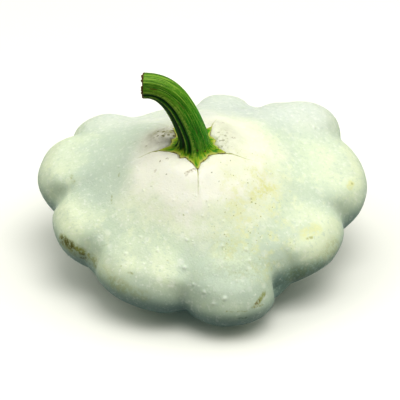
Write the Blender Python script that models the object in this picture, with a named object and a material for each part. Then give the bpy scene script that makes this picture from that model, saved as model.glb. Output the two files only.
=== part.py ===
# A pattypan squash as it lies on a table: the scalloped fruit and its curved, five-ridged stem.
# Units are metres, with +Z up. The origin is the middle of the flat spot that the fruit rests on.
# The fruit is first shaped upright about its own axis, with the stem on top, and is then tipped
# forward onto its ground spot, so the near lobes almost reach the surface that it lies on.

import math

import bmesh
import bpy
import numpy as np
from mathutils import Matrix, Vector

MM = 0.001
UP = Vector((0, 0, 1))

# Driving dimensions, in metres.
TIP_RADIUS = 81.5 * MM          # from the fruit's axis to the tip of an average lobe
TILT = math.radians(15.5)       # how far the stem leans towards -Y as the fruit lies
GROUND_CUT = 1.5 * MM           # how much of the rounded underside is pressed flat
CROWN_HEIGHT = 34 * MM          # the stem's level seat above the middle of the rim
CROWN_SHIFT = -2.6 * MM         # the seat stands to the left of the rim's middle
FIT_GAP = 0.3 * MM              # between the seat and the stem's foot
FOOT_RADIUS = 8.4 * MM          # the stem's foot between its points
FOOT_POINT = 5.4 * MM           # how far its large points reach out from there
FOOT_SPUR = 1.8 * MM            # how far its small points do

# One row for each station down the side of the fruit, from the stem to the blossom end:
# radius and height along a valley, then along the ridge of a lobe, in millimetres.
STATIONS = (
    (0, 34, 0, 34),
    (9, 34, 9, 34),
    (17.5, 33.8, 17.5, 33.8),
    (29, 28.4, 29, 28.6),
    (41, 21.3, 41, 21.8),
    (53, 15.8, 53, 16.4),
    (62, 11, 64, 13),
    (66.5, 5, 74, 9.5),
    (68.5, -3, 81, 2),
    (65.5, -10.5, 78, -7.5),
    (55, -17, 66.5, -16.5),
    (44, -22.6, 48, -22.6),
    (26, -28.8, 27, -28.8),
    (10, -33.4, 10, -33.4),
    (0, -34.5, 0, -34.5),
)

# Each lobe, counter-clockwise from the +X side: azimuth of its ridge and its half width in
# degrees, the reach of its tip and the lift of its tip above the middle of the rim in millimetres,
# and how deep the valleys beside it are, from 0 to 1.
LOBES = (
    (8, 23, 82, 3, 0.6),
    (41, 18, 86, 7.5, 0.6),
    (59, 12, 69, 2.5, 0.5),
    (78, 16, 74, 0, 0.6),
    (109, 17, 65, -1, 0.5),
    (138, 13, 79, 0, 0.65),
    (166, 21, 80.5, 4, 0.6),
    (202, 15, 72.5, 1.5, 0.5),
    (245, 21, 72.5, 1, 0.4),
    (284, 17, 79, -0.5, 0.8),
    (328, 17.5, 74, 1, 0.6),
)
LOBE_POWER = 2.4                # 2 is a parabola, and more makes a rounder knuckle
LOBE_BLEND = 0.9                # how far a lobe's reach and lift carry into its neighbours
SOFT_CROWN, SOFT_RIM = 3.0, 7.0  # how sharply neighbouring lobes meet, at the crown and at the rim
LOBES_GROW = (0.1, 0.5)         # the part of the way down over which the lobes take shape
LOBES_FADE = (1.0, 0.65)        # and the part of the underside over which they die out
SHIFT_FADE = (0.55, 0.15)       # from the rim up to the crown, where the sideways shift is whole

# The middle line of the stem above its seat, in millimetres, at even steps from foot to cut end.
STEM_PATH = (
    (0, 0, 0),
    (-0.4, 0, 7),
    (-2.4, 0.3, 14),
    (-5.2, 1, 20.6),
    (-8.8, 2, 26.4),
    (-12.8, 3, 30.4),
    (-16.9, 3.6, 33),
    (-21.2, 4, 34.6),
)
STEM_POINTS = (58, 127, 190, 277, 343)  # azimuths of the foot's large points and of the stem's ridges
STEM_SPURS = (22, 93, 158, 233, 310)    # azimuths of the small points between them

# One ring of the stem for each row, from the middle of its underside to the middle of its cut end:
# distance up the path in percent, radius in millimetres, and how much of the foot's star shape it has.
STEM_RINGS = (
    (0, 0, 1), (0, 5, 1), (0, 9.8, 1),
    (1.2, 10, 1), (3, 9, 0.85), (5.5, 7.9, 0.6), (9, 7.2, 0.35), (14, 6.8, 0.15), (20, 6.6, 0),
    (27, 6.5, 0), (34, 6.4, 0), (41, 6.3, 0), (48, 6.2, 0), (55, 6, 0), (62, 5.8, 0), (69, 5.6, 0),
    (76, 5.4, 0), (83, 5.3, 0), (90, 5.3, 0), (96, 5.3, 0), (99, 5.1, 0),
    (100, 4.6, 0), (99.4, 2.5, 0), (99, 0, 0),
)
STAR_RADIUS = 10 * MM           # the ring radius at which the foot has its true size
STEM_RIDGE, STEM_RIB = 0.10, 0.04  # how far the ridges and the ribs between them stand out, of the radius
POINT_WIDTH, SPUR_WIDTH = 36, 20   # half width at the root of a large and of a small point, in degrees
RIDGE_WIDTH, RIB_WIDTH = 30, 16    # half width of a ridge and of a rib of the stem, in degrees
POINT_POWER = 1.5               # more than 1 makes the foot's edge hollow between its points

FRUIT_STEPS_ROUND, FRUIT_STEPS_DOWN, STEM_STEPS_ROUND = 90, 34, 50


def clear_scene():
    for obj in list(bpy.data.objects):
        bpy.data.objects.remove(obj, do_unlink=True)


def smooth_row(rows, t):
    """The table's values at t from 0 to 1, on a smooth curve through its rows."""
    rows = np.asarray(rows, float)
    last = len(rows) - 1
    place = np.clip(t, 0, 1) * last
    k = np.minimum(place.astype(int), last - 1)
    u = (place - k)[:, None]
    before, after = rows[np.maximum(k - 1, 0)], rows[np.minimum(k + 2, last)]
    start, end = rows[k], rows[k + 1]
    return 0.5 * (
        2 * start
        + (end - before) * u
        + (2 * before - 5 * start + 4 * end - after) * u**2
        + (3 * start - before - 3 * end + after) * u**3
    )


def rise(low, high, value):
    """0 below low, 1 above high, and a smooth step between."""
    u = np.clip((value - low) / (high - low), 0, 1)
    return u * u * (3 - 2 * u)


def turn_from(azimuth, middles):
    """Degrees from each middle to each azimuth, between -180 and 180: one column for each middle."""
    return (np.degrees(azimuth)[:, None] - np.asarray(middles) + 180) % 360 - 180


def fruit_surface(t, azimuth):
    """Points on the upright fruit: t runs from 0 at the stem to 1 at the blossom end."""
    valley_r, valley_z, ridge_r, ridge_z = smooth_row(STATIONS, t).T
    grown = rise(*LOBES_GROW, t) * rise(*LOBES_FADE, t)
    middle, half_width, reach, lift, depth = np.array(LOBES, float).T
    off = turn_from(azimuth, middle) / half_width
    height = np.maximum(1 - np.abs(off) ** LOBE_POWER, -SOFT_CROWN)
    soft = SOFT_CROWN + (SOFT_RIM - SOFT_CROWN) * grown
    ridge = np.clip(np.log(np.exp(soft[:, None] * height).sum(axis=1)) / soft, 0, 1.1)
    share = np.exp(-((off / LOBE_BLEND) ** 2))
    share /= share.sum(axis=1)[:, None]
    reach, lift = share @ reach * MM, share @ lift * MM
    ridge = 1 - (share @ depth) * (1 - ridge)
    scale = 1 + grown * (reach / TIP_RADIUS - 1)
    radius = (valley_r + ridge * (ridge_r - valley_r)) * scale * MM
    z = (valley_z + ridge * (ridge_z - valley_z)) * MM + lift * grown
    x = radius * np.cos(azimuth) + CROWN_SHIFT * rise(*SHIFT_FADE, t)
    return np.column_stack((x, radius * np.sin(azimuth), np.minimum(z, CROWN_HEIGHT)))


def bumps(azimuth, middles, half_width, power):
    """1 at each of the middles, falling to 0 at the half width on both sides of it."""
    off = np.abs(turn_from(azimuth, middles)) / half_width
    return (np.maximum(1 - off, 0) ** power).sum(axis=1)


def stem_surface(ring, azimuth):
    """Points on the upright stem, whose foot stands on the fruit's seat: ring is a row's number."""
    along, radius, star = np.array(STEM_RINGS)[ring].T
    points = bumps(azimuth, STEM_POINTS, POINT_WIDTH, POINT_POWER) * FOOT_POINT
    spurs = bumps(azimuth, STEM_SPURS, SPUR_WIDTH, POINT_POWER) * FOOT_SPUR
    foot = (FOOT_RADIUS + points + spurs) / STAR_RADIUS
    ridges = bumps(azimuth, STEM_POINTS, RIDGE_WIDTH, 1) - 0.5
    shaft = 1 + STEM_RIDGE * ridges + STEM_RIB * bumps(azimuth, STEM_SPURS, RIB_WIDTH, 1)
    radius = radius * MM * (star * foot + (1 - star) * shaft)
    middle, behind, ahead = (smooth_row(STEM_PATH, along / 100 + step) for step in (0, -0.01, 0.01))
    seat = Vector((CROWN_SHIFT, 0, CROWN_HEIGHT + FIT_GAP))
    placed = []
    for centre, way, level, r, a in zip(middle, ahead - behind, star, radius, azimuth):
        turn = UP.rotation_difference(UP * level + Vector(way).normalized() * (1 - level))
        across = Vector((r * math.cos(a), r * math.sin(a), 0))
        placed.append(seat + Vector(centre) * MM + turn @ across)
    return placed


def lay_down():
    """Carries the upright fruit's frame to the one in which it lies on its ground spot."""
    tipped = Matrix.Rotation(TILT, 4, "X")
    t, azimuth = np.meshgrid(np.linspace(0.6, 1, 81), np.linspace(0, 2 * math.pi, 181))
    points = fruit_surface(t.ravel(), azimuth.ravel()) @ np.array(tipped.to_3x3()).T
    ground = points[:, 2].min() + GROUND_CUT
    spot = points[points[:, 2] < ground]
    middle = (spot.min(axis=0) + spot.max(axis=0)) / 2
    return Matrix.Translation((-middle[0], -middle[1], -ground)) @ tipped


def new_object(name, bm, material):
    bmesh.ops.recalc_face_normals(bm, faces=bm.faces[:])
    mesh = bpy.data.meshes.new(name)
    bm.to_mesh(mesh)
    bm.free()
    mesh.shade_smooth()
    mesh.set_sharp_from_angle(angle=math.radians(50))
    mesh.materials.append(material)
    obj = bpy.data.objects.new(name, mesh)
    bpy.context.scene.collection.objects.link(obj)
    return obj


def plain_material(name, colour, roughness):
    material = bpy.data.materials.new(name)
    material.use_nodes = True
    shader = material.node_tree.nodes["Principled BSDF"]
    shader.inputs["Base Color"].default_value = (*colour, 1)
    shader.inputs["Roughness"].default_value = roughness
    shader.inputs["Metallic"].default_value = 0
    return material


def ball(steps_round, steps_down):
    """A unit sphere, with each point's part of the way down from +Z to -Z and its azimuth."""
    bm = bmesh.new()
    bmesh.ops.create_uvsphere(bm, u_segments=steps_round, v_segments=steps_down, radius=1)
    unit = np.array([vert.co for vert in bm.verts])
    down = np.arccos(np.clip(unit[:, 2], -1, 1)) / math.pi
    return bm, down, np.arctan2(unit[:, 1], unit[:, 0])


def make_fruit(placed):
    """A sphere whose latitude becomes the way down the side, laid down and pressed flat below."""
    bm, down, azimuth = ball(FRUIT_STEPS_ROUND, FRUIT_STEPS_DOWN)
    for vert, point in zip(bm.verts, fruit_surface(down, azimuth)):
        vert.co = placed @ Vector(point)
    cut = bmesh.ops.bisect_plane(
        bm,
        geom=bm.verts[:] + bm.edges[:] + bm.faces[:],
        plane_co=(0, 0, 0),
        plane_no=(0, 0, -1),
        clear_outer=True,
    )
    rim = [item for item in cut["geom_cut"] if isinstance(item, bmesh.types.BMEdge)]
    bmesh.ops.contextual_create(bm, geom=rim)
    return new_object("fruit", bm, plain_material("waxy_skin", (0.78, 0.86, 0.68), 0.4))


def make_stem(placed):
    """A sphere whose rings become the rings of the stem, from its cut end down to under its foot."""
    last = len(STEM_RINGS) - 1
    bm, down, azimuth = ball(STEM_STEPS_ROUND, last)
    ring = np.rint((1 - down) * last).astype(int)
    for vert, point in zip(bm.verts, stem_surface(ring, azimuth)):
        vert.co = placed @ point
    return new_object("stem", bm, plain_material("green_stem", (0.13, 0.3, 0.04), 0.45))


clear_scene()
laid = lay_down()
make_fruit(laid)
make_stem(laid)
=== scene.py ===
# %% [markdown]
# A pattypan squash with its stalk
#
# The packed model is a plain but true copy of the fruit: its size, its lobes and its stalk are
# right, and its skin is bare. This lesson lays a finished skin and stalk over it. Loading the model
# first gives one frame for everything, with the origin in the middle of the flat spot that the
# fruit lies on and +Z up, so nothing has to be fitted to anything afterwards.

# %% Load the model
import math

import bmesh
import bpy
import numpy as np
from mathutils import Matrix, Vector, noise


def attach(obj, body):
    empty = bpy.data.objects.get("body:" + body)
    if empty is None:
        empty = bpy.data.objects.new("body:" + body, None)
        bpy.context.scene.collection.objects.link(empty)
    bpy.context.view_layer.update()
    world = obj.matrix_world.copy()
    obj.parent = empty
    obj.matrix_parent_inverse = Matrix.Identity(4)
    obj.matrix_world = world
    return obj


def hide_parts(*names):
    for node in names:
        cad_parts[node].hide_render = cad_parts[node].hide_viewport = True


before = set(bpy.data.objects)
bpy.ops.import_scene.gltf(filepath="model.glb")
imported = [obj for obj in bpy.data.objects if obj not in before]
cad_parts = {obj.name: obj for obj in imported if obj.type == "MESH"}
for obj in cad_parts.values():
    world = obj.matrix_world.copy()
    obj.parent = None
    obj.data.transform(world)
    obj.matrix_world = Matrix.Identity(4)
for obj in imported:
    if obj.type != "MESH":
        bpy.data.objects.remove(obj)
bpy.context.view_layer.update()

MM = 0.001


def in_mm(point):
    """A place's three numbers in mm, for printing."""
    return [round(v / MM, 1) for v in point]


# %% [markdown]
# The fruit's shape as a rule
#
# A pattypan is a low dome over a shallow bowl, and its rim swells into about ten knuckles. It could
# be sculpted, but two numbers name every place on it: how far down the side it is, from stalk to
# blossom end, and its azimuth. A table gives the profile along a valley and along a ridge, and each
# lobe says where its ridge is, how wide it is and how far it reaches. So every mark, groove and
# pimple below has an exact place on the skin.

# %% Name the fruit's dimensions
TIP_RADIUS = 81.5               # in mm, from the fruit's axis to the tip of an average lobe
TILT = math.radians(15.5)       # how far the stalk leans towards the viewer
GROUND_CUT = 1.5                # in mm, how much of the underside is pressed flat
CROWN_HEIGHT = 34               # in mm, the stalk's seat above the middle of the rim
CROWN_SHIFT = -2.6              # in mm, the seat stands left of the rim's middle
FIT_GAP = 0.3                   # in mm, between the seat and the stalk's foot

# Radius and height along a valley, then along a ridge, in mm, from the stalk to the blossom end.
STATIONS = (
    (0, 34, 0, 34),
    (9, 34, 9, 34),
    (17.5, 33.8, 17.5, 33.8),
    (29, 28.4, 29, 28.6),
    (41, 21.3, 41, 21.8),
    (53, 15.8, 53, 16.4),
    (62, 11, 64, 13),
    (66.5, 5, 74, 9.5),
    (68.5, -3, 81, 2),
    (65.5, -10.5, 78, -7.5),
    (55, -17, 66.5, -16.5),
    (44, -22.6, 48, -22.6),
    (26, -28.8, 27, -28.8),
    (10, -33.4, 10, -33.4),
    (0, -34.5, 0, -34.5),
)
# Azimuth of a lobe's ridge and its half width in degrees, its reach and its lift in mm, and how
# deep the valleys beside it are, from 0 to 1.
LOBES = (
    (8, 23, 82, 3, 0.6),
    (41, 18, 86, 7.5, 0.6),
    (59, 12, 69, 2.5, 0.5),
    (78, 16, 74, 0, 0.6),
    (109, 17, 65, -1, 0.5),
    (138, 13, 79, 0, 0.65),
    (166, 21, 80.5, 4, 0.6),
    (202, 15, 72.5, 1.5, 0.5),
    (245, 21, 72.5, 1, 0.4),
    (284, 17, 79, -0.5, 0.8),
    (328, 17.5, 74, 1, 0.6),
)
LOBE_POWER = 2.4                # above 2, so a lobe is blunt and the valley beside it is narrow
LOBE_BLEND = 0.9                # in half widths, how far a lobe's reach carries over to the next
LOBE_FLOOR = -3.0               # the least that a lobe far away counts for
LOBE_MOST = 1.1                 # in ridges, the most that two lobes may reach where they meet
SOFT_CROWN, SOFT_RIM = 3.0, 7.0     # how sharply lobes part, on the crown and at the rim
# Shares of the way down between which the lobes grow, they fade again, and the seat's shift ends.
LOBES_GROW, LOBES_FADE, SHIFT_FADE = (0.1, 0.5), (1.0, 0.65), (0.55, 0.15)


def smooth_row(rows, t):
    """The table's values at t from 0 to 1, on a smooth curve through its rows."""
    rows = np.asarray(rows, float)
    last = len(rows) - 1
    place = np.clip(t, 0, 1) * last
    k = np.minimum(place.astype(int), last - 1)
    u = (place - k)[:, None]
    before, after = rows[np.maximum(k - 1, 0)], rows[np.minimum(k + 2, last)]
    start, end = rows[k], rows[k + 1]
    bend = 2 * before - 5 * start + 4 * end - after
    twist = 3 * start - before - 3 * end + after
    return 0.5 * (2 * start + (end - before) * u + bend * u**2 + twist * u**3)


def rise(low, high, value):
    """0 below low, 1 above high, and a smooth step between."""
    u = np.clip((value - low) / (high - low), 0, 1)
    return u * u * (3 - 2 * u)


def turn_from(azimuth, middles):
    """Degrees from each middle to each azimuth, one column for each middle."""
    return (np.degrees(azimuth)[:, None] - np.asarray(middles) + 180) % 360 - 180


def fruit_surface(down, azimuth):
    """Points in mm on the upright fruit, and how much of a ridge each place is, from 0 to 1."""
    valley_r, valley_z, ridge_r, ridge_z = smooth_row(STATIONS, down).T
    grown = rise(*LOBES_GROW, down) * rise(*LOBES_FADE, down)
    middle, half_width, reach, lift, depth = np.array(LOBES, float).T
    off = turn_from(azimuth, middle) / half_width
    height = np.maximum(1 - np.abs(off) ** LOBE_POWER, LOBE_FLOOR)
    # A soft maximum over the lobes lets the nearest one count most, without a crease between two.
    soft = SOFT_CROWN + (SOFT_RIM - SOFT_CROWN) * grown
    ridge = np.clip(np.log(np.exp(soft[:, None] * height).sum(axis=1)) / soft, 0, LOBE_MOST)
    share = np.exp(-((off / LOBE_BLEND) ** 2))
    share /= share.sum(axis=1)[:, None]
    reach, lift = share @ reach, share @ lift
    ridge = 1 - (share @ depth) * (1 - ridge)
    scale = 1 + grown * (reach / TIP_RADIUS - 1)
    radius = (valley_r + ridge * (ridge_r - valley_r)) * scale
    z = valley_z + ridge * (ridge_z - valley_z) + lift * grown
    x = radius * np.cos(azimuth) + CROWN_SHIFT * rise(*SHIFT_FADE, down)
    return np.column_stack((x, radius * np.sin(azimuth), np.minimum(z, CROWN_HEIGHT))), ridge


def lay_down():
    """Carries the upright fruit, in mm, to where it lies on its flat spot, in metres."""
    tipped = Matrix.Rotation(TILT, 4, "X")
    # A net of places on the underside shows which of them the ground would cut.
    down, azimuth = np.meshgrid(np.linspace(0.6, 1, 81), np.linspace(0, 2 * math.pi, 181))
    points = fruit_surface(down.ravel(), azimuth.ravel())[0] @ np.array(tipped.to_3x3()).T
    ground = points[:, 2].min() + GROUND_CUT
    spot = points[points[:, 2] < ground]
    middle = (spot.min(axis=0) + spot.max(axis=0)) / 2
    to_origin = Matrix.Translation((-middle[0], -middle[1], -ground))
    return Matrix.Diagonal((MM, MM, MM, 1)) @ to_origin @ tipped


laid = lay_down()
seat = laid @ Vector((CROWN_SHIFT, 0, CROWN_HEIGHT))
print("the stalk's seat lies at", in_mm(seat), "mm")

# %% [markdown]
# The camera
#
# The photograph looks down on the fruit from the front at about 30 degrees. The near lobes are a
# little larger than the far ones, which puts the camera roughly 60 cm away. A long lens at that
# distance keeps the rest of the perspective calm, as a product photograph has it.

# %% Set the camera
CAMERA_ELEVATION = math.radians(29.5)
CAMERA_DISTANCE = 0.62
CAMERA_AIM = laid @ Vector((0.3, -15.3, 14.1))     # in the middle of the fruit
FRAME_WIDTH = 0.1878            # what the picture's width covers at the aim, in metres
SENSOR_WIDTH = 36               # in mm

camera = bpy.data.objects.new("camera", bpy.data.cameras.new("camera"))
bpy.context.scene.collection.objects.link(camera)
towards_camera = Vector((0, -math.cos(CAMERA_ELEVATION), math.sin(CAMERA_ELEVATION)))
camera.location = CAMERA_AIM + towards_camera * CAMERA_DISTANCE
camera.rotation_euler = (-towards_camera).to_track_quat("-Z", "Y").to_euler()
camera.data.sensor_width = SENSOR_WIDTH
camera.data.lens = SENSOR_WIDTH * CAMERA_DISTANCE / FRAME_WIDTH
camera.data.clip_start, camera.data.clip_end = 0.01, 20
bpy.context.scene.camera = camera
print("lens:", round(camera.data.lens), "mm")

# %% [markdown]
# The stalk's foot as a rule
#
# Where the stalk meets the fruit it spreads into a star. Its five points draw out into thin ends,
# with a small spur between each two. The outline could be drawn as a curve, but the skin has to
# know it too, because it swells up against the star's edge. So it is a rule that gives the radius
# at each azimuth, and both pieces read it.

# %% Outline the star
STAR_POINTS = (58, 127, 190, 277, 343)  # azimuths of the large points
STAR_SPURS = ((22, 3.2), (93, 2.2), (158, 2.6), (233, 1.9), (306, 2.0))  # azimuth, reach in mm
FOOT_RADIUS, FOOT_POINT = 8.4, 5.4      # in mm, between the points and out from there
STAR_TIP = 2.6                          # in mm, the thin end of each large point
# Half width in degrees and sharpness of a point, of its thin end and of a spur.
POINT_FORM, TIP_FORM, SPUR_FORM = (36, 1.5), (9, 1.2), (20, 1.3)


def bumps(azimuth, middles, half_width, power):
    """1 at each of the middles, falling to 0 at the half width on both sides of it."""
    off = np.abs(turn_from(azimuth, middles)) / half_width
    return (np.maximum(1 - off, 0) ** power).sum(axis=1)


def star_edge(azimuth):
    """Radius in mm of the foot's edge at each azimuth round the stalk."""
    edge = FOOT_RADIUS + bumps(azimuth, STAR_POINTS, *POINT_FORM) * FOOT_POINT
    edge += bumps(azimuth, STAR_POINTS, *TIP_FORM) * STAR_TIP
    for middle, reach in STAR_SPURS:
        edge += bumps(azimuth, [middle], *SPUR_FORM) * reach
    # Two small waves keep the edge from being even.
    return edge + 0.2 * np.cos(azimuth * 11) + 0.12 * np.cos(azimuth * 18 + 2)


edge_mm = star_edge(np.radians(np.arange(0, 360, 1.0)))
print("the star reaches", round(edge_mm.min(), 1), "to", round(edge_mm.max(), 1), "mm")

# %% [markdown]
# Relief on the skin
#
# Real skin is never as even as its rule. It swells in soft pillows between the star's points, it
# is drawn in along a fine seam that runs on from each point, it folds where two lobes meet, and it
# undulates a little all over. All of this is true height, in mm along the skin's outward side, so
# it catches the light and shows on the outline.

# %% List the seams and the folds
# Each seam: azimuth where it leaves its point, how many degrees it swings, where it ends in mm.
SEAMS = ((190, -3, 34), (277, -4, 33), (343, 11, 34), (58, 9, 29), (127, 3, 24))
SEAM_START = 14.5               # in mm from the stalk's axis, just inside the star's points
SEAM_FADE = 19                  # in mm, the length over which a seam thins out to its end
SEAM_DEPTH, SEAM_WIDTH = 0.2, 0.3       # in mm, as the next two pairs are
DALE_DEPTH, DALE_WIDTH = 0.8, 4.5       # the broad hollow that each seam lies in
PILLOW_HEIGHT, PILLOW_WIDTH = 1.4, 10   # how the skin swells against the star's edge
DALE_ENDS = (36, 16)            # in mm from the stalk's axis, where a dale is gone and where whole
POINT_GAP = 12                  # in degrees beside each point, where the skin swells less
UPPER_SIDE = 0.45               # share of the way down, to where the stalk's surroundings count
FAR_AWAY = 99.0                 # in mm, more than any distance that matters

# Each fold: azimuth, share of the way down at both ends, depth in mm, and its width in mm on the
# clockwise and on the other side. A narrow side makes a lobe stand out as a knob.
FOLDS = (
    (301, 0.48, 0.64, 3.2, 1.6, 7),
    (264, 0.47, 0.72, 2.6, 6, 2.2),
    (318, 0.57, 0.82, 3.0, 7, 9),
    (222, 0.45, 0.64, 1.6, 5, 3.5),
    (186, 0.42, 0.62, 1.4, 4, 4),
    (346, 0.44, 0.62, 0.9, 4, 4),
    (26, 0.42, 0.58, 0.8, 5, 5),
    (151, 0.42, 0.58, 0.8, 5, 5),
    (63, 0.36, 0.62, 3.0, 6, 6),
    (93, 0.36, 0.6, 1.0, 5, 5),
)
print(len(SEAMS), "seams and", len(FOLDS), "folds")

# %% [markdown]
# Relief as height
#
# Relief could be sculpted by hand, but a height worked out from distances is easier to aim: how far
# a point lies beyond the star's edge, and how far beside the nearest seam or fold. A bell curve
# over that distance keeps each of them soft.


# %% Work out the relief
def seam_distance(out, azimuth):
    """Distance in mm to the nearest seam, and how strong that seam is there, from 0 to 1."""
    nearest = np.full(len(out), FAR_AWAY)
    strength = np.zeros(len(out))
    for start, swing, end in SEAMS:
        share = np.clip((out - SEAM_START) / (end - SEAM_START), 0, 1)
        off = np.radians(turn_from(azimuth, [start])[:, 0] - swing * share)
        side = np.abs(out * off)
        live = rise(SEAM_START - 1, SEAM_START + 1, out) * rise(end + 2, end - SEAM_FADE, out)
        closer = side < nearest
        nearest = np.where(closer, side, nearest)
        strength = np.where(closer, live, strength)
    return nearest, strength


def waves(points, size, seed):
    """Smooth noise from -1 to 1 at each point, whose swells are about the given size in mm."""
    shift = Vector((seed * 17.3, seed * 5.1, seed * 9.7))
    return np.array([noise.noise(Vector(p) / size + shift) for p in points])


def crown_relief(points, down):
    """Height in mm of the pillows, dales and seams round the stalk, with what the finish reads."""
    x, y = points[:, 0] - CROWN_SHIFT, points[:, 1]
    out, round_stalk = np.hypot(x, y), np.arctan2(y, x)
    beyond = out - star_edge(round_stalk)
    side, strength = seam_distance(out, round_stalk)
    on_top = down < UPPER_SIDE
    point = bumps(round_stalk, STAR_POINTS, POINT_GAP, 1) * rise(4, 0, beyond)
    pillow = PILLOW_HEIGHT * rise(-0.6, 1.6, beyond) * np.exp(-((beyond / PILLOW_WIDTH) ** 2))
    pillow *= 1 - 0.8 * point
    dale = DALE_DEPTH * np.exp(-((side / DALE_WIDTH) ** 2)) * rise(*DALE_ENDS, out)
    dale *= rise(0, 2, beyond)
    seam = SEAM_DEPTH * np.exp(-((side / SEAM_WIDTH) ** 2)) * strength
    finish = {"out": np.where(on_top, out, FAR_AWAY), "beyond": np.where(on_top, beyond, FAR_AWAY)}
    finish |= {"seam_side": side, "seam_live": strength * on_top}
    return (pillow - dale - seam) * on_top, finish


def fold_relief(points, down, azimuth):
    """Height in mm of the folds between the lobes; it is never above 0."""
    radius = np.hypot(points[:, 0], points[:, 1])
    height = np.zeros(len(points))
    for middle, top, bottom, depth, clockwise, counter in FOLDS:
        side = np.radians(turn_from(azimuth, [middle])[:, 0]) * radius
        width = np.where(side < 0, clockwise, counter)
        along = rise(top, top + 0.1, down) * rise(bottom, bottom - 0.08, down)
        height -= depth * along * np.exp(-((side / width) ** 2))
    return height


print("seams are", SEAM_DEPTH, "mm deep, folds up to", max(fold[3] for fold in FOLDS), "mm")

# %% [markdown]
# Pimples
#
# Small pale pimples stand all over the upper side, the largest on the near lobes. Each is a low
# dome, a millimetre or two across. A bump in the material could fake them, but real ones catch the
# light from any side. The net of faces is too wide for them, so it is made finer round each one,
# and only there. A fixed seed scatters them the same way each time.

# %% Scatter the pimples
# The ones that stand out most: share of the way down, azimuth, radius and height in mm.
LARGE_PIMPLES = (
    (0.420, 264, 1.3, 0.45), (0.325, 265, 1.0, 0.30), (0.508, 279, 1.4, 0.45), (0.365, 295, 1.5, 0.35),
    (0.400, 294, 1.2, 0.35), (0.427, 29, 1.1, 0.35), (0.443, 28, 1.0, 0.30), (0.388, 34, 1.0, 0.30),
    (0.465, 159, 1.2, 0.35), (0.430, 164, 1.1, 0.35), (0.380, 164, 1.0, 0.30), (0.492, 272, 1.1, 0.35),
    (0.525, 275, 1.0, 0.30), (0.455, 285, 1.1, 0.30), (0.475, 268, 0.9, 0.30), (0.340, 284, 1.0, 0.30),
    (0.077, 151, 1.1, 0.60), (0.385, 250, 0.9, 0.30), (0.440, 236, 1.0, 0.30), (0.410, 324, 1.0, 0.30),
)
SMALL_PIMPLES = 130
PIMPLE_SLOPE = 0.75             # of a pimple's radius: a smaller share makes its dome steeper

# The small ones are scattered, with the same four numbers each.
rng = np.random.default_rng(11)
scattered = np.column_stack((
    rng.uniform(0.2, 0.6, SMALL_PIMPLES),
    rng.uniform(0, 360, SMALL_PIMPLES),
    rng.uniform(0.45, 0.85, SMALL_PIMPLES),
    rng.uniform(0.08, 0.20, SMALL_PIMPLES),
))
pimples = np.vstack((LARGE_PIMPLES, scattered))
pimple_places = fruit_surface(pimples[:, 0], np.radians(pimples[:, 1]))[0]
print(len(pimples), "pimples, the widest", round(2 * pimples[:, 2].max(), 1), "mm across")


def pimple_relief(points):
    """Height in mm of the pimples, and how near each point is to the top of one, from 0 to 1."""
    height, top = np.zeros(len(points)), np.zeros(len(points))
    for place, (_, _, radius, rise_mm) in zip(pimple_places, pimples):
        near = np.abs(points - place).max(axis=1) < 3 * radius
        dome = np.exp(-((np.linalg.norm(points[near] - place, axis=1) / (PIMPLE_SLOPE * radius)) ** 2))
        height[near] += rise_mm * dome
        top[near] = np.maximum(top[near], dome)
    return height, top


# %% [markdown]
# From a sphere to a piece
#
# Both pieces start as a sphere. Its latitude says how far down, or up, a point is and its longitude
# the azimuth, so one operator gives a closed surface with an even net of faces, and moving its
# points does the rest. A coarse sphere whose faces are then divided comes out the same as a fine
# one, and is made far sooner. Numbers that a material needs are kept at the points.


# %% Start from a ball
def ball(steps_round, steps_down, cuts):
    """A unit sphere of evenly divided faces."""
    bm = bmesh.new()
    bmesh.ops.create_uvsphere(bm, u_segments=steps_round, v_segments=steps_down, radius=1)
    bmesh.ops.subdivide_edges(bm, edges=bm.edges[:], cuts=cuts, use_grid_fill=True)
    return bm


def down_and_round(bm):
    """Each point's part of the way down from +Z to -Z on the unit sphere, and its azimuth."""
    unit = np.array([vert.co.normalized() for vert in bm.verts])
    return np.arccos(np.clip(unit[:, 2], -1, 1)) / math.pi, np.arctan2(unit[:, 1], unit[:, 0])


def outward(bm, points):
    """Moves the mesh's points to these and returns the outward direction at each."""
    for vert, point in zip(bm.verts, points):
        vert.co = point
    bm.normal_update()
    return np.array([vert.normal for vert in bm.verts])


def note(bm, **values):
    """Keeps one number at each of the mesh's points, for a material to read by name."""
    for name, numbers in values.items():
        layer = bm.verts.layers.float.new(name)
        for vert, number in zip(bm.verts, numbers):
            vert[layer] = float(number)


sample = ball(8, 4, 1)
print("a ball of 8 by 4 faces, cut once, has", len(sample.faces), "faces")
sample.free()

# %% [markdown]
# Finishing a piece
#
# A heavy fruit presses a flat spot into its own underside. It could be modelled as a dent, but it
# is simpler to cut away what passes below the floor and close the cut with one face. Each finished
# mesh becomes an object at the origin that rides on the fruit's one body and stands for the plain
# node that it covers.

# %% Finish a piece
SHARP = math.radians(60)        # edges sharper than this aren't shaded smooth


def press_flat(bm):
    """Cuts off what lies below the floor and closes the cut."""
    geometry = bm.verts[:] + bm.edges[:] + bm.faces[:]
    cut = bmesh.ops.bisect_plane(
        bm, geom=geometry, plane_co=(0, 0, 0), plane_no=(0, 0, -1), clear_outer=True
    )
    edge = [item for item in cut["geom_cut"] if isinstance(item, bmesh.types.BMEdge)]
    bmesh.ops.contextual_create(bm, geom=edge)


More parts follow.
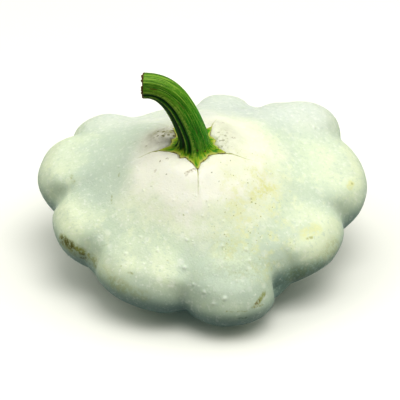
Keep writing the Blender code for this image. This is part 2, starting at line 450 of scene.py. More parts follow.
def finish_piece(name, bm, material, node):
    """Makes a bmesh a piece that rides on the fruit's body and stands for a node."""
    bmesh.ops.recalc_face_normals(bm, faces=bm.faces[:])
    for face in bm.faces:
        face.smooth = len(face.verts) <= 4      # only the spot on the floor has more corners
    mesh = bpy.data.meshes.new(name)
    bm.to_mesh(mesh)
    bm.free()
    mesh.set_sharp_from_angle(angle=SHARP)
    mesh.materials.append(material)
    piece = bpy.data.objects.new(name, mesh)
    bpy.context.scene.collection.objects.link(piece)
    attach(piece, "root")
    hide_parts(node)
    print(name, "has", sum(len(face.vertices) - 2 for face in mesh.polygons), "triangles")


print("edges sharper than", round(math.degrees(SHARP)), "degrees stay sharp")

# %% [markdown]
# Writing materials as sums
#
# A material is a net of nodes, and most of those nodes only add, multiply or mix. They could be
# wired up one by one, but wrapping a socket in a small class lets a mask be written as a plain sum.
# Anything else comes from one method that names the node, its settings and what feeds it.

# %% Wrap a socket
class Shade:
    """A node's output socket. Arithmetic on it adds Math nodes."""

    def __init__(self, tree, socket=None):
        self.tree, self.socket = tree, socket

    def node(self, kind, settings={}, feeds={}, output=0):
        """Adds a node: its settings first, then its sockets' values or links. Gives one output."""
        made = self.tree.nodes.new("ShaderNode" + kind)
        for name, value in settings.items():
            setattr(made, name, value)
        for key, value in feeds.items():
            if isinstance(value, Shade):
                self.tree.links.new(value.socket, made.inputs[key])
            else:
                made.inputs[key].default_value = value
        return Shade(self.tree, made.outputs[output])

    def math(self, operation, *values):
        """Adds a Math node that works on these values."""
        return self.node("Math", {"operation": operation}, dict(enumerate(values)))

    def __add__(self, other):
        return self.math("ADD", self, other)

    def __radd__(self, other):
        return self.math("ADD", other, self)

    def __sub__(self, other):
        return self.math("SUBTRACT", self, other)

    def __rsub__(self, other):
        return self.math("SUBTRACT", other, self)

    def __mul__(self, other):
        return self.math("MULTIPLY", self, other)

    def __rmul__(self, other):
        return self.math("MULTIPLY", other, self)

    def between(self, low, high):
        """0 at low, 1 at high, and a smooth step between."""
        flip = low > high
        feeds = {"Value": self, "From Min": min(low, high), "From Max": max(low, high)}
        feeds.update({"To Min": float(flip), "To Max": float(not flip)})
        return self.node("MapRange", {"interpolation_type": "SMOOTHSTEP"}, feeds)

    def most(self, other):
        """The larger of two masks, so that they overlap without adding up."""
        return self.math("MAXIMUM", self, other)

    def read(self, name):
        """The number that note() kept at each point under this name."""
        return self.node("Attribute", {"attribute_name": name}, output="Fac")

    def grain(self, place, size_mm, detail=2.0, rough=0.5, output=0):
        """Noise from 0 to 1 whose swells are about this many mm."""
        feeds = {"Vector": place, "Scale": 1 / (size_mm * MM), "Detail": detail, "Roughness": rough}
        return self.node("TexNoise", {}, feeds, output)

    def dots(self, place, cell_mm, radius_mm, share):
        """A round dot of this radius in this share of the cells, by each cell's chance colour."""
        feeds = {"Vector": place, "Scale": 1 / (cell_mm * MM)}
        middle = self.node("TexVoronoi", {}, feeds, "Distance") * cell_mm
        chosen = self.node("TexVoronoi", {}, feeds, "Color").between(share + 0.02, share - 0.02)
        return middle.between(radius_mm, 0.5 * radius_mm) * chosen

    def near(self, place, start, end, width_mm):
        """1 on the straight line from start to end, falling to 0 at this distance from it."""
        off = self.node("VectorMath", {"operation": "SUBTRACT"}, {0: place, 1: start})
        way = end - start
        if way.length > 0:
            scaled = tuple(way / way.length_squared)
            part = self.node("VectorMath", {"operation": "DOT_PRODUCT"}, {0: off, 1: scaled}, "Value")
            held = self.node("Clamp", {}, {"Value": part})
            back = self.node("VectorMath", {"operation": "SCALE"}, {0: tuple(way), "Scale": held})
            off = self.node("VectorMath", {"operation": "SUBTRACT"}, {0: off, 1: back})
        away = self.node("VectorMath", {"operation": "LENGTH"}, {0: off}, "Value")
        return away.between(width_mm * MM, 0.3 * width_mm * MM)

    def jogged(self, place, size_mm, by_mm):
        """The place, moved about by noise, so that what is drawn with it gets a ragged edge."""
        jog = self.grain(place, size_mm, 3, 0.6, "Color")
        settings = {"operation": "MULTIPLY_ADD"}
        scale, shift = (2 * by_mm * MM,) * 3, (-by_mm * MM,) * 3
        moved = self.node("VectorMath", settings, {0: jog, 1: scale, 2: shift})
        return self.node("VectorMath", {"operation": "ADD"}, {0: place, 1: moved})

    def tint(self, under, over, mask):
        """The colour over, laid on the colour under as far as the mask says."""
        return self.node("Mix", {"data_type": "RGBA"}, {0: mask, 6: under, 7: over}, output=2)

    def feed(self, shader, socket):
        """Links this value to the shader's socket."""
        self.tree.links.new(self.socket, shader.inputs[socket])


print("a socket knows:", ", ".join(name for name in vars(Shade) if not name.startswith("_")))

# %% [markdown]
# Colours, materials and places
#
# A colour is easiest to choose as a screen shows it, but a shader wants light values, so a helper
# converts it. What is the same all over a material is set on its shader's own sockets, by name. A
# mark's place is given as the fruit's shape is, by the way down and the azimuth.


# %% Write the material helpers
def colour(red, green, blue):
    """A colour as a screen shows it, from 0 to 255, as the light values that a shader wants."""
    return tuple((c / 255) ** 2.2 for c in (red, green, blue)) + (1.0,)


def new_material(name, **constants):
    """A material whose constant values are set on its shader's own sockets."""
    material = bpy.data.materials.new(name)
    material.use_nodes = True
    shader = material.node_tree.nodes["Principled BSDF"]
    for socket, value in constants.items():
        shader.inputs[socket.replace("_", " ")].default_value = value
    return material, shader, Shade(material.node_tree)


def on_skin(down, azimuth):
    """The place in metres on the laid fruit that lies this far down at this azimuth in degrees."""
    point = fruit_surface(np.array([down]), np.radians([azimuth]))[0][0]
    return laid @ Vector(point)


print("the lobe nearest the camera ends at", in_mm(on_skin(0.55, 284)), "mm")

# %% [markdown]
# The skin's finish
#
# Ripe skin is cream round the stalk and pale green further out, yellower on top of the knuckles and
# greyer in the hollows, a grey that is partly painted shade. Below the rim it is painted darker, as
# shade. On top of that it is mottled, flecked with white and speckled with olive.
# Broad zones come from the numbers kept at each point, and everything small comes from noise read
# at the point's place, so no picture is needed and the pattern holds from every side.

# %% Choose the skin's colours
# The skin itself: round the stalk, outside it, on the knuckles, grey in hollows and patches of
# painted shade, painted shade below, and a painted cool cast on the far lobes.
CREAM, LEAF, BUTTER = colour(249, 247, 232), colour(213, 225, 200), colour(236, 242, 210)
SLATE, UNDERSIDE_SHADE, MIST = colour(197, 210, 193), colour(128, 158, 154), colour(222, 226, 222)
# What lies on it: flecks, olive marks and their crust, yellow stains, brown spots, the grey of the
# painted shade beside the stalk, and bruises. Olive and bruise green also paint shade on the front.
CHALK, OLIVE, CRUST = colour(250, 251, 242), colour(148, 150, 50), colour(100, 98, 28)
STAIN, RUST, SHADE_GREY = colour(222, 222, 150), colour(118, 92, 50), colour(150, 146, 132)
BRUISE_AND_SHADE = colour(92, 118, 92)

print("the skin's green in light values:", [round(c, 3) for c in LEAF[:3]])

# %% [markdown]
# Marks
#
# This fruit has marks of its own: a rubbed patch, a nick, yellow stains, scratches and dirt round
# its stalk. They could be painted on a picture, but a short line on the skin with a width, a
# strength and a colour says the same. A later mark is laid over an earlier one. The last five are
# not marks but painted shade, under the shoulders and on the front, on the right.

# %% List the marks
# Each mark: where it starts and ends (share of the way down, azimuth), its half width in mm, how
# strong it is and its colour.
MARKS = (
    ((0.560, 207), (0.552, 223), 4.4, 0.6, OLIVE),      # the rubbed patch on the left knuckle
    ((0.558, 207), (0.550, 211), 2.8, 0.9, CRUST),
    ((0.556, 212), (0.562, 217), 2.0, 0.7, CRUST),
    ((0.547, 214), (0.543, 221), 1.8, 0.7, OLIVE),
    ((0.550, 236), (0.556, 250), 4.0, 0.25, OLIVE),
    ((0.562, 223), (0.562, 224), 1.6, 0.7, CRUST),
    ((0.575, 216), (0.580, 220), 1.5, 0.7, CRUST),
    ((0.440, 226), (0.492, 222), 0.4, 0.55, OLIVE),     # a hairline between two lobes
    ((0.520, 294), (0.545, 289), 1.4, 0.75, OLIVE),     # the nick on the front knuckle
    ((0.533, 291), (0.543, 289), 0.7, 0.75, RUST),
    ((0.546, 288), (0.551, 292), 0.8, 0.5, OLIVE),
    ((0.545, 279), (0.555, 286), 0.45, 0.5, OLIVE),
    ((0.578, 282), (0.584, 286), 0.7, 0.6, BRUISE_AND_SHADE),
    ((0.450, 323), (0.462, 329), 4.5, 0.5, STAIN),      # the yellow patch on the right lobe
    ((0.464, 322), (0.472, 324), 1.0, 0.5, OLIVE),
    ((0.492, 358), (0.488, 356), 2.6, 0.6, STAIN),
    ((0.494, 358), (0.494, 358), 1.0, 0.4, OLIVE),
    ((0.285, 337), (0.275, 334), 4.0, 0.6, STAIN),      # stains on the slope to the right
    ((0.253, 337), (0.253, 337), 3.0, 0.5, STAIN),
    ((0.260, 319), (0.255, 325), 2.8, 0.5, STAIN),
    ((0.262, 315), (0.262, 316), 0.8, 0.5, OLIVE),
    ((0.275, 326), (0.262, 333), 3.4, 0.6, STAIN),
    ((0.330, 292), (0.360, 286), 3.6, 0.25, STAIN),
    ((0.315, 205), (0.330, 210), 0.5, 0.5, OLIVE),      # scratches on the left slope
    ((0.265, 193), (0.267, 195), 0.7, 0.5, OLIVE),
    ((0.415, 181), (0.419, 185), 1.3, 0.4, OLIVE),
    ((0.413, 256), (0.413, 256), 0.7, 0.6, OLIVE),
    ((0.473, 257), (0.473, 257), 0.6, 0.5, OLIVE),
    ((0.500, 241), (0.498, 243), 0.8, 0.5, OLIVE),
    ((0.490, 237), (0.490, 237), 0.6, 0.5, OLIVE),
    ((0.260, 262), (0.260, 262), 0.7, 0.55, OLIVE),
    ((0.150, 259), (0.130, 270), 1.5, 0.8, RUST),       # dirt round the stalk
    ((0.115, 207), (0.115, 207), 0.6, 0.8, BRUISE_AND_SHADE),
    ((0.110, 230), (0.112, 231), 0.8, 0.7, RUST),
    ((0.120, 312), (0.122, 315), 0.8, 0.7, RUST),
    # The last five marks are painted shade: olive under the shoulders, and darker on the front, on the
    # right.
    ((0.550, 240), (0.545, 230), 6.0, 0.18, OLIVE),     # olive shade under the shoulders
    ((0.560, 310), (0.550, 330), 6.0, 0.3, OLIVE),
    ((0.450, 278), (0.500, 302), 15, 0.14, BRUISE_AND_SHADE),     # the darker front, on the right
    ((0.350, 272), (0.390, 290), 14, 0.11, BRUISE_AND_SHADE),
    ((0.570, 306), (0.580, 318), 8, 0.25, BRUISE_AND_SHADE),
)

# Broad patches of painted shade, in grey: start, end, half width in mm and strength.
PAINTED_SHADE = (
    ((0.27, 150), (0.32, 192), 22, 0.85),
    ((0.20, 120), (0.22, 95), 16, 0.5),
    ((0.44, 84), (0.42, 70), 18, 0.6),
    ((0.44, 138), (0.44, 166), 16, 0.35),
    ((0.47, 276), (0.48, 290), 16, 0.8),
    ((0.42, 304), (0.50, 304), 9, 0.8),
    ((0.46, 40), (0.44, 62), 18, 0.5),
    ((0.37, 60), (0.33, 40), 14, 0.5),
    ((0.56, 240), (0.56, 262), 12, 0.6),
)
print(len(MARKS), "marks and", len(PAINTED_SHADE), "greyer parts")

# %% [markdown]
# Masks for the skin's zones
#
# Skin this thin and wet lets a little light into the flesh, so the shader has some subsurface light
# under a weak, soft coat. The zones could be separate materials, but those would meet in hard
# borders. Each zone is a mask from 0 to 1 instead: a number kept at the points, roughened by noise.

# %% Mask the skin's zones
skin_material, skin_shader, s = new_material(
    "waxy_skin",
    Subsurface_Weight=0.2,
    Subsurface_Scale=0.003,
    Subsurface_Radius=(1.0, 1.1, 0.7),
    Coat_Weight=0.12,
    Coat_Roughness=0.4,
)
skin_nodes = skin_material.node_tree.nodes
place = s.node("TexCoord", output="Object")
ragged, eased = s.jogged(place, 2.2, 0.9), s.jogged(place, 8, 1.5)
out, down, ridge, beyond, seam_side, seam_live, pimple = (
    s.read(name) for name in ("out", "down", "ridge", "beyond", "seam_side", "seam_live", "pimple")
)
blotch = s.grain(place, 15, 3)
cloud = s.grain(place, 6, 4, 0.6)
fine = s.grain(place, 2.0, 4, 0.65)
crown = (out + (blotch - 0.5) * 26 + (cloud - 0.5) * 12).between(50, 26)
knuckle = (ridge + (cloud - 0.5) * 0.3).between(0.6, 1.0)
knuckle = knuckle * down.between(0.3, 0.46) * down.between(0.6, 0.5)
hollow = ridge.between(0.8, 0.45) * down.between(0.28, 0.46)
# The underside below the rim; the tone laid there is painted shade.
under = (down + (blotch - 0.5) * 0.05).between(0.52, 0.62)
print("the masks took", len(skin_nodes), "nodes")

# %% [markdown]
# Broad tones
#
# Tones are laid over one another as glazes are, the broadest first: green and butter, grey hollows
# that are partly painted shade, cream round the stalk, patches of painted shade, and the painted
# shade below the rim and in the tuck. With one mix for each tone, any of them is easy to move or
# weaken.


# %% Lay the broad tones
def patch(where, start, end, width_mm):
    """1 on the skin between two places, given as way down and azimuth, and 0 this far off."""
    return s.near(where, on_skin(*start), on_skin(*end), width_mm)


base = s.tint(LEAF, BUTTER, (knuckle * 0.7).most(cloud.between(0.48, 0.66) * 0.6))
# The grey in the hollows is partly painted shade; the blotches are the skin's own.
base = s.tint(base, SLATE, (hollow * 0.45).most(blotch.between(0.52, 0.34) * 0.4))
base = s.tint(base, CREAM, crown)
base = s.tint(base, BUTTER, crown.between(0.05, 0.4) * crown.between(0.95, 0.4) * 0.5)
base = s.tint(base, BUTTER, cloud.between(0.52, 0.7) * crown * 0.3)
# Patches of painted shade, in grey.
for start, end, width, strength in PAINTED_SHADE:
    base = s.tint(base, SLATE, patch(place, start, end, width) * strength)
# The far lobes are given a paler, cooler grey, painted for the light that turns away there.
far_lobes = patch(place, (0.46, 45), (0.46, 125), 34)
base = s.tint(base, MIST, far_lobes * 0.55)
warm = patch(place, (0.15, 350), (0.2, 30), 24)
base = s.tint(base, BUTTER, warm * 0.45)
# Painted shade on the underside below the rim, and in the tuck under the front-right lobe.
tuck_shade = patch(place, (0.56, 304), (0.6, 320), 10)
base = s.tint(base, UNDERSIDE_SHADE, (under * 0.8).most(tuck_shade * 0.8))
base = s.tint(base, CHALK, fine.between(0.52, 0.7) * 0.35)
base = s.tint(base, SLATE, fine.between(0.46, 0.32) * (0.5 - crown * 0.45))
print("with the broad tones there are", len(skin_nodes), "nodes")

# %% [markdown]
# Flecks and grains
#
# White flecks of two sizes lie under the wax, and the pimples have pale tops. Fine olive grains are
# thickest on the near right slope. A pattern of cells gives dots of one size, and reading it at a
# place that noise has moved a little keeps them from looking stamped.

# %% Add the flecks and grains
flecks = (s.dots(eased, 3.0, 0.8, 0.5) * 0.5).most(s.dots(eased, 6.0, 2.2, 0.5) * 0.35)
near_front = patch(place, (0.4, 240), (0.42, 290), 45)
smooth_left = patch(place, (0.24, 145), (0.34, 192), 30)
flecks = flecks * (0.45 + near_front * 0.4 - smooth_left * 0.4)
flecks = flecks * cloud.between(0.3, 0.55) * down.between(0.62, 0.5)
base = s.tint(base, CHALK, flecks.most(pimple * 0.35))

slope = patch(place, (0.24, 326), (0.36, 300), 26)
grains = s.dots(ragged, 1.8, 0.4, 0.6) * (slope * 0.7 + 0.12) * cloud.between(0.4, 0.56)
base = s.tint(base, STAIN, slope * (0.05 + cloud.between(0.42, 0.62) * fine.between(0.36, 0.6) * 0.4))
base = s.tint(base, OLIVE, grains * 0.75)
print("with the flecks there are", len(skin_nodes), "nodes")

# %% [markdown]
# Dirt, painted shade, marks and seams
#
# Beside the stalk the skin is painted a soft grey as shade, and dirt gathers there, where a cloth
# can't reach, as olive crumbs. The marks come over it, and last the seams, a brown line in the
# middle of each groove, and the dark edge where the skin tucks under the star.

# %% Add the painted shade, the dirt, the marks and the seams
left, right = ((0.08, 140), (0.14, 152)), ((0.08, 25), (0.12, 38))
# The soft grey film behind the stalk, on both sides, is painted shade.
shade_by_stalk = patch(ragged, *left, 24) * 0.2 + patch(ragged, *left, 16) * 0.3
shade_by_stalk = shade_by_stalk + patch(ragged, *left, 9) * 0.4 + patch(ragged, *right, 18) * 0.3
base = s.tint(base, SHADE_GREY, shade_by_stalk * (0.5 + cloud.between(0.3, 0.7) * 0.5))
dirty = patch(place, (0.145, 148), (0.115, 143), 7)
dirty = dirty.most(patch(place, (0.13, 32), (0.11, 0), 5) * 0.55)
base = s.tint(base, OLIVE, dirty * fine.between(0.5, 0.6) * cloud.between(0.4, 0.55) * 0.5)
crumbs = dirty.between(0.2, 0.9) * s.dots(ragged, 1.8, 0.95, 0.6) * fine.between(0.38, 0.5)
base = s.tint(base, CRUST, crumbs * 0.9)
specks = out.between(36, 18) * s.dots(ragged, 2.6, 0.55, 0.3) * cloud.between(0.4, 0.5)
base = s.tint(base, CRUST, specks * 0.55)
spots = out.between(28, 16) * s.dots(ragged, 4.0, 1.1, 0.3) * fine.between(0.46, 0.56)
base = s.tint(base, RUST, spots * 0.6)
for start, end, width, strength, tone in MARKS:
    mark = patch(ragged, start, end, width)
    base = s.tint(base, tone, mark * (fine.between(0.4, 0.56) * (0.8 * strength) + 0.2 * strength))

seam = (seam_side + (fine - 0.5) * 0.3).between(0.42, 0.05) * seam_live
base = s.tint(base, OLIVE, seam * (0.2 + seam_live * 0.8))
tucked = (beyond + (cloud - 0.5) * 2.2).between(0.5, 0.1) * fine.between(0.48, 0.62)
base = s.tint(base, RUST, tucked * cloud.between(0.42, 0.56) * 0.7)
base.feed(skin_shader, "Base Color")
print("the whole colour takes", len(skin_nodes), "nodes")

# %% [markdown]
# Pores and sheen
#
# Up close the wax is finely pitted, which breaks up the highlights. Pits that small would need
# millions of faces, so they are a bump in the shader. The sheen follows the zones: the cream crown
# is a little smoother than the green skin.

# %% Give the skin its pores
pores = fine * 0.5 + s.grain(place, 0.8, 2) + s.dots(place, 2.2, 0.7, 0.6) * 0.8
bumped = s.node("Bump", {}, {"Strength": 0.18, "Distance": 0.0004, "Height": pores}, "Normal")
bumped.feed(skin_shader, "Normal")
(0.52 - crown * 0.06 + (fine - 0.5) * 0.12).feed(skin_shader, "Roughness")
print("the skin's material has", len(skin_nodes), "nodes")

# %% [markdown]
# The skin
#
# More of the sphere's rows go to the top and the rim, which are seen most. The faces round the
# pimples are divided once more while it is still a sphere, because there the way down and the
# azimuth of the new points can still be read. The relief then moves each point along its outward
# direction, and pressing the underside flat gives the spot that the fruit lies on.

# %% Model the skin
SKIN_ROUND, SKIN_DOWN, SKIN_CUTS = 85, 56, 3    # faces round, faces down, cuts in each
ROW_SHARES = ((0, 0), (0.07, 0.08), (0.82, 0.64), (1, 1))  # share of the rows, and how far down
SWELL_SIZE, SWELL_HEIGHT = 24, 0.6      # in mm, as the next two pairs are
RIPPLE_SIZE, RIPPLE_HEIGHT = 8, 0.16
SWELLS_START = (9, 20)                  # from the stalk's axis, so that its seat stays level
FINER_PASSES = 2


def read_skin(bm):
    """For each point of the sphere: how far down, its azimuth, its place in mm and its ridge."""
    rows, azimuth = down_and_round(bm)
    down = np.interp(rows, *zip(*ROW_SHARES))
    points, ridge = fruit_surface(down, azimuth)
    return down, azimuth, points, ridge


bm = ball(SKIN_ROUND, SKIN_DOWN, SKIN_CUTS)
for _ in range(FINER_PASSES):
    points = read_skin(bm)[2]
    close = np.zeros(len(points), bool)
    for middle, (_, _, radius, _) in zip(pimple_places, pimples):
        close |= np.abs(points - middle).max(axis=1) < 1.5 * radius
    bm.verts.index_update()
    edges = [edge for edge in bm.edges if all(close[vert.index] for vert in edge.verts)]
    bmesh.ops.subdivide_edges(bm, edges=edges, cuts=1, use_grid_fill=True)

down_share, azimuth, points, ridge_share = read_skin(bm)
normals = outward(bm, points)
crown_height, crown_finish = crown_relief(points, down_share)
pimple_height, pimple_top = pimple_relief(points)
swells = waves(points, SWELL_SIZE, 1) * SWELL_HEIGHT + waves(points, RIPPLE_SIZE, 2) * RIPPLE_HEIGHT
relief = crown_height + pimple_height + swells * rise(*SWELLS_START, crown_finish["out"])
relief += fold_relief(points, down_share, azimuth)
outward(bm, points + normals * relief[:, None])
note(bm, down=down_share, ridge=ridge_share, pimple=pimple_top, **crown_finish)
bmesh.ops.transform(bm, matrix=laid, verts=bm.verts[:])
press_flat(bm)
finish_piece("squash_skin", bm, skin_material, "fruit")

# %% [markdown]
# The stalk
#
# The stalk is a ridged, curved stem that spreads into the star below and ends above in a dry, ragged
# cut. A sphere works here too: its rings slide along the stalk's middle line, and each ring's outline
# goes from the star to the ridged shaft. The ridges run down into the star's points, as they grow.

# %% Shape the stalk
# The stalk's middle line from its foot, in mm: to the right, to the back and up.
STALK_PATH = (
    (0, 0, 0),
    (-0.4, 0, 7),
    (-2.3, 0.3, 14),
    (-5.0, 1, 20.8),
    (-8.5, 2, 26.8),
    (-13.0, 3, 31.2),
    (-18.2, 3.7, 33.3),
    (-24.2, 4.2, 33.4),
)
# Share of the rings, distance up the path in percent, radius in mm and share of the star's shape.
STALK_RINGS = (
    (0, 0, 0, 1),
    (0.08, 0, 9.6, 1),
    (0.1, 0.7, 10, 1),
    (0.14, 1.8, 9.3, 0.85),
    (0.18, 3, 8.4, 0.58),
    (0.22, 4.8, 7.6, 0.3),
    (0.26, 7.5, 7.1, 0.1),
    (0.31, 11, 6.9, 0),
    (0.42, 22, 6.6, 0),
    (0.55, 39, 6.4, 0),
    (0.68, 58, 6.1, 0),
    (0.8, 77, 5.75, 0),
    (0.88, 90, 5.6, 0),
    (0.915, 94.9, 5.7, 0),
    (0.93, 95.9, 5.4, 0),
    (0.945, 96.1, 4.8, 0),
    (0.97, 94.6, 3.4, 0),
    (1, 94, 0, 0),
)
# Grooves between the ridges: azimuth, half width in degrees, and depth as a share of the radius.
# A depth below 0 is a rib that stands out.
GROOVES = (
    (225, 17, 0.17),
    (243, 5, -0.045),
    (255, 9, 0.12),
    (270, 6, -0.035),
    (288, 3, -0.012),
    (301, 12, 0.03),
    (318, 4, -0.02),
    (20, 14, 0.05),
    (92, 20, 0.12),
    (160, 14, 0.12),
    (200, 8, -0.03),
)
STALK_ROUND, STALK_UP, STALK_CUTS = 60, 50, 2   # faces round, faces up, cuts in each


def stalk_surface(share, azimuth):
    """Points in mm on the upright stalk, from foot to cut, and the numbers that its finish reads."""
    shares, *columns = zip(*STALK_RINGS)
    along, radius, star = (np.interp(share, shares, column) for column in columns)
    groove = sum(depth * bumps(azimuth, [middle], half, 0.9) for middle, half, depth in GROOVES)
    fibre = 0.5 * np.cos(azimuth * 23) + 0.3 * np.cos(azimuth * 37 + 1) + 0.2 * np.cos(azimuth * 15 + 2)
    foot = star_edge(azimuth) / 10 + 0.02 * fibre * rise(9, 6, radius * (1 - star))
    radius = radius * (star * foot + (1 - star) * (1.03 - groove + 0.012 * fibre))
    # The fibres tore off at slightly different lengths.
    torn = 0.5 * np.cos(azimuth * 5 + 1) + 0.5 * np.cos(azimuth * 11) + 0.6 * fibre
    along = along + torn * rise(91, 95, along)
    middle, behind, ahead = (smooth_row(STALK_PATH, along / 100 + step) for step in (0, -0.015, 0.015))
    # A ring of the foot lies level, and one of the shaft stands square to the path.
    up = Vector((0, 0, 1))
    foot_middle = Vector((CROWN_SHIFT, 0, CROWN_HEIGHT + FIT_GAP))
    placed = []
    for centre, way, level, r, a in zip(middle, ahead - behind, star, radius, azimuth):
        turn = up.rotation_difference(up * level + Vector(way).normalized() * (1 - level))
        across = Vector((r * math.cos(a), r * math.sin(a), 0))
        placed.append(foot_middle + Vector(centre) + turn @ across)
    placed = np.array(placed)
    x, y = placed[:, 0] - CROWN_SHIFT, placed[:, 1]
    edge = star_edge(np.arctan2(y, x)) - np.hypot(x, y)
    finish = {"along": along, "groove": groove, "star": star, "edge": edge, "fibre": fibre}
    return placed, finish | {"face_x": np.cos(azimuth), "face_y": np.sin(azimuth)}


cut_middle = laid @ Vector(stalk_surface(np.array([1.0]), np.array([0.0]))[0][0])
print("the middle of the stalk's cut lies at", in_mm(cut_middle), "mm")

# %% [markdown]
# The stalk's finish
#
# The stalk is a fresh mid green, painted darker in its grooves as shade and yellower on its ridges,
# with fine pale streaks along it. The foot turns lime where it spreads, and the cut end is dry and
# brown. Streaks have to follow the curve, so their noise is read from the azimuth and the distance
# up the stalk instead of from the place: it is squeezed across the stalk and stretched along it.

# %% Choose the stalk's colours
# From the deepest painted shade, in grooves and on the side away from the lamp, through a shade
# green to the shaft's green, riper near its cut, and the pale ribs.
DEEP_SHADE, SHADE, GREEN = colour(4, 46, 8), colour(12, 84, 4), colour(48, 146, 10)
RIPE, RIB = colour(120, 152, 44), colour(164, 190, 88)
# The spread foot, its thin dry edge, and bark where it is cut or scratched.
LIME, STRAW, BARK = colour(150, 176, 40), colour(208, 204, 122), colour(96, 70, 38)
SIDE_RINGS = STALK_RINGS[:15]       # up to the cut, inside which the rings go back down
# Each scratch: percent up the stalk and azimuth at both ends, half width in mm, and strength.
SCRATCHES = (
    ((88, 292), (82, 293), 0.45, 0.7),
    ((58, 296), (50, 300), 0.4, 0.5),
    ((30, 300), (24, 301), 0.5, 0.45),
    ((9, 285), (8, 285), 0.7, 0.7),
    ((5, 312), (5, 314), 0.6, 0.8),
)


def on_stalk(along, azimuth):
    """The place in metres on the laid stalk at this distance up it and this azimuth in degrees."""
    share = np.interp(along, [ring[1] for ring in SIDE_RINGS], [ring[0] for ring in SIDE_RINGS])
    point = stalk_surface(np.array([share]), np.radians([azimuth]))[0][0]
    return laid @ Vector(point)


print("halfway up, its near side lies at", in_mm(on_stalk(50, 270)), "mm")

# %% [markdown]
# The shaft's streaks
#
# One noise in three scales makes the shaft's streaks: broad bands of darker green, pale lines, and
# fine speckle. The side that is turned away from the lamp is painted deep green as its shade, and
# the grooves are painted darker still as shade, with a row of pale beads on the rib between them.

# %% Colour the shaft
stalk_material, stalk_shader, s = new_material("green_stalk", Roughness=0.5, Specular_IOR_Level=0.3)
place = s.node("TexCoord", output="Object")
along, groove, star, edge, fibre, face_x, face_y = (
    s.read(name) for name in ("along", "groove", "star", "edge", "fibre", "face_x", "face_y")
)
lengthwise = s.node("CombineXYZ", {}, {0: face_x * 9, 1: face_y * 9, 2: along * 0.03})
streak = s.node("TexNoise", {}, {"Vector": lengthwise, "Scale": 1.6, "Detail": 4.0, "Roughness": 0.6})
broad = s.node("TexNoise", {}, {"Vector": lengthwise, "Scale": 0.35, "Detail": 2.0})
fine = s.grain(place, 1.2, 4, 0.65)
cloud = s.grain(place, 3, 3)
speckle = s.node("TexNoise", {}, {"Vector": lengthwise, "Scale": 9.0, "Detail": 3.0, "Roughness": 0.7})
base = s.tint(GREEN, RIPE, (along + (broad - 0.5) * 60).between(35, 95) * 0.65)
base = s.tint(base, SHADE, broad.between(0.52, 0.4) * 0.5)
# Painted shade: the side turned away from the lamp is tinted deep green.
base = s.tint(base, SHADE, face_x.between(-0.2, -0.55) * 0.85)
base = s.tint(base, DEEP_SHADE, face_x.between(-0.4, -0.7) * 0.7)
base = s.tint(base, RIB, streak.between(0.52, 0.62) * 0.7)
base = s.tint(base, SHADE, streak.between(0.48, 0.38) * 0.75)
# Pale speckle and flecks are laid only on the side towards the lamp: partly real flecks, partly a
# painted highlight there.
base = s.tint(base, RIB, speckle.between(0.5, 0.62) * face_x.between(-0.5, 0) * 0.5)
base = s.tint(base, RIB, fine.between(0.58, 0.68) * face_x.between(-0.5, 0) * 0.5)
# Painted shade in the grooves, darkest at their bottom.
base = s.tint(base, SHADE, groove.between(0.01, 0.07))
base = s.tint(base, DEEP_SHADE, groove.between(0.05, 0.13) * 0.95)
base = s.tint(base, RIB, groove.between(-0.004, -0.03) * (0.35 + fine.between(0.42, 0.58) * 0.5))
beads = face_x.between(-0.06, 0.04) * face_x.between(0.2, 0.1) * face_y.between(0, -0.3)
base = s.tint(base, RIB, beads * fine.between(0.45, 0.58) * along.between(88, 70) * 0.8)
print("the shaft's colour takes", len(stalk_material.node_tree.nodes), "nodes")

# %% [markdown]
# The foot and the cut
#
# The foot is lime with green spokes, where the ridges run out into it, and has a straw-coloured rim
# with a few brown notches. The cut and the scratches are dry bark. They could be materials of their
# own, but as masks laid last they fade into the green.

# %% Colour the foot and the cut
base = s.tint(base, LIME, (star + (streak - 0.5) * 0.9).between(0.1, 0.6))
veins = star.between(0.2, 0.6) * (fibre + (cloud - 0.5) * 3).between(0.1, -0.5)
base = s.tint(base, GREEN, veins * 0.7)
base = s.tint(base, SHADE, star.between(0.2, 0.5) * (fine + (cloud - 0.5)).between(0.42, 0.3) * 0.6)
base = s.tint(base, STRAW, (edge + (fine - 0.5)).between(2.4, 0.4) * star.between(0.5, 0.9) * 0.75)
spokes = (fibre + (fine - 0.5) * 1.6).between(-0.1, -0.45)
spokes = spokes * edge.between(0.3, 1.6) * star.between(0.3, 0.7)
base = s.tint(base, GREEN, spokes * 0.4)
notch = (edge + (fine - 0.5) * 2.4).between(0.5, 0.0) * star.between(0.7, 1)
base = s.tint(base, BARK, notch * cloud.between(0.44, 0.54) * 0.9)
base = s.tint(base, BARK, fine.between(0.68, 0.74) * 0.6)
for start, end, width, strength in SCRATCHES:
    base = s.tint(base, BARK, s.near(place, on_stalk(*start), on_stalk(*end), width) * strength)
base = s.tint(base, BARK, (along + (fine - 0.5) * 2).between(93.6, 94.8))
base.feed(stalk_shader, "Base Color")
rough = streak * 0.8 + fine * 0.5
bumped = s.node("Bump", {}, {"Strength": 0.5, "Distance": 0.0004, "Height": rough}, "Normal")
bumped.feed(stalk_shader, "Normal")
print("the stalk's material has", len(stalk_material.node_tree.nodes), "nodes")

# %% [markdown]
# The stalk as a piece
#
# A bevelled curve would sweep one outline along the path, but here the outline turns from a star
# into a ridged shaft. So the rings are laid over a ball, whose lowest point becomes the middle of
# the foot and whose highest the middle of the cut. The foot stands clear of its seat by FIT_GAP.

# %% Model the stalk
bm = ball(STALK_ROUND, STALK_UP, STALK_CUTS)
share, azimuth = down_and_round(bm)
points, stalk_finish = stalk_surface(1 - share, azimuth)
outward(bm, points)
note(bm, **stalk_finish)
bmesh.ops.transform(bm, matrix=laid, verts=bm.verts[:])
finish_piece("squash_stalk", bm, stalk_material, "stem")

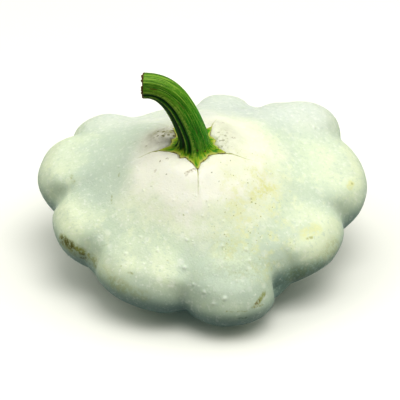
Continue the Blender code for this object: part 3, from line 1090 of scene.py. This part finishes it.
# %% [markdown]
# The stage
#
# A plain pale floor, so that nothing competes with the fruit. It could be a curved backdrop, but a
# wide flat floor looks the same from every side. It throws no light back up, so the underside stays
# deep, as it does on a table away from a window.

# %% Lay the floor
FLOOR_WIDTH = 6                 # in metres

bpy.ops.mesh.primitive_plane_add(size=FLOOR_WIDTH)
floor = bpy.context.object
floor.name = "floor"
floor.visible_diffuse = False
floor_colour = colour(248, 247, 240)
floor.data.materials.append(new_material("pale_floor", Base_Color=floor_colour, Roughness=0.9)[0])
print("the floor is", FLOOR_WIDTH, "m wide")

# %% [markdown]
# Daylight
#
# Most of the light is a soft dome, brightest overhead and weaker from the front, which gives the
# rim its shade. A low glow from both sides lifts the outer lobes, and little comes from below. One
# large soft lamp hangs high up, a little to the front and the right, and gives the crown its form.
# Lamps all round could do the same, but each would leave a highlight of its own on the waxy skin.

# %% Light the fruit
SKY, SIDE_GLOW, BELOW_HORIZON = 0.76, 0.6, 0.18
# The dome's colour below the horizon, just above it, where it is faintly yellow, and higher up.
BELOW_TONE, LOW_TONE, HIGH_TONE = (0.8, 0.93, 1.0, 1), (1.0, 1.0, 0.62, 1), (0.96, 0.98, 1.0, 1)
LAMP_PLACE, LAMP_SIZE, LAMP_WATTS = (0.19, -0.28, 1.15), 0.8, 4.35      # in metres and watts
LAMP_TONE = (1.0, 0.985, 0.97)

world = bpy.data.worlds.new("world")
bpy.context.scene.world = world
world.use_nodes = True
background = world.node_tree.nodes["Background"]
s = Shade(world.node_tree)
direction = s.node("TexCoord", output="Generated")
upward = s.node("SeparateXYZ", {}, {"Vector": direction}, "Z")
frontward = s.node("SeparateXYZ", {}, {"Vector": direction}, "Y").between(-0.2, -0.8)
sideways = s.math("ABSOLUTE", s.node("SeparateXYZ", {}, {"Vector": direction}, "X")).between(0.3, 0.9)
tone = s.tint(BELOW_TONE, LOW_TONE, upward.between(-0.05, 0.1))
s.tint(tone, HIGH_TONE, upward.between(0.15, 0.75)).feed(background, "Color")
dome = upward.between(0.0, 0.85) * (1 - frontward * 0.75)
dome = dome + sideways * upward.between(0, 0.3) * SIDE_GLOW
(BELOW_HORIZON * upward.between(0.05, -0.1) + SKY * dome).feed(background, "Strength")

lamp = bpy.data.objects.new("key", bpy.data.lights.new("key", "AREA"))
lamp.data.size, lamp.data.energy = LAMP_SIZE, LAMP_WATTS
lamp.data.color = LAMP_TONE
lamp.location = LAMP_PLACE
lamp.rotation_euler = (CAMERA_AIM - lamp.location).to_track_quat("-Z", "Y").to_euler()
bpy.context.scene.collection.objects.link(lamp)
bpy.context.scene.view_settings.view_transform = "Standard"
bpy.context.scene.view_settings.look = "High Contrast"
print("the lamp hangs", round((lamp.location - CAMERA_AIM).length, 2), "m from the fruit")
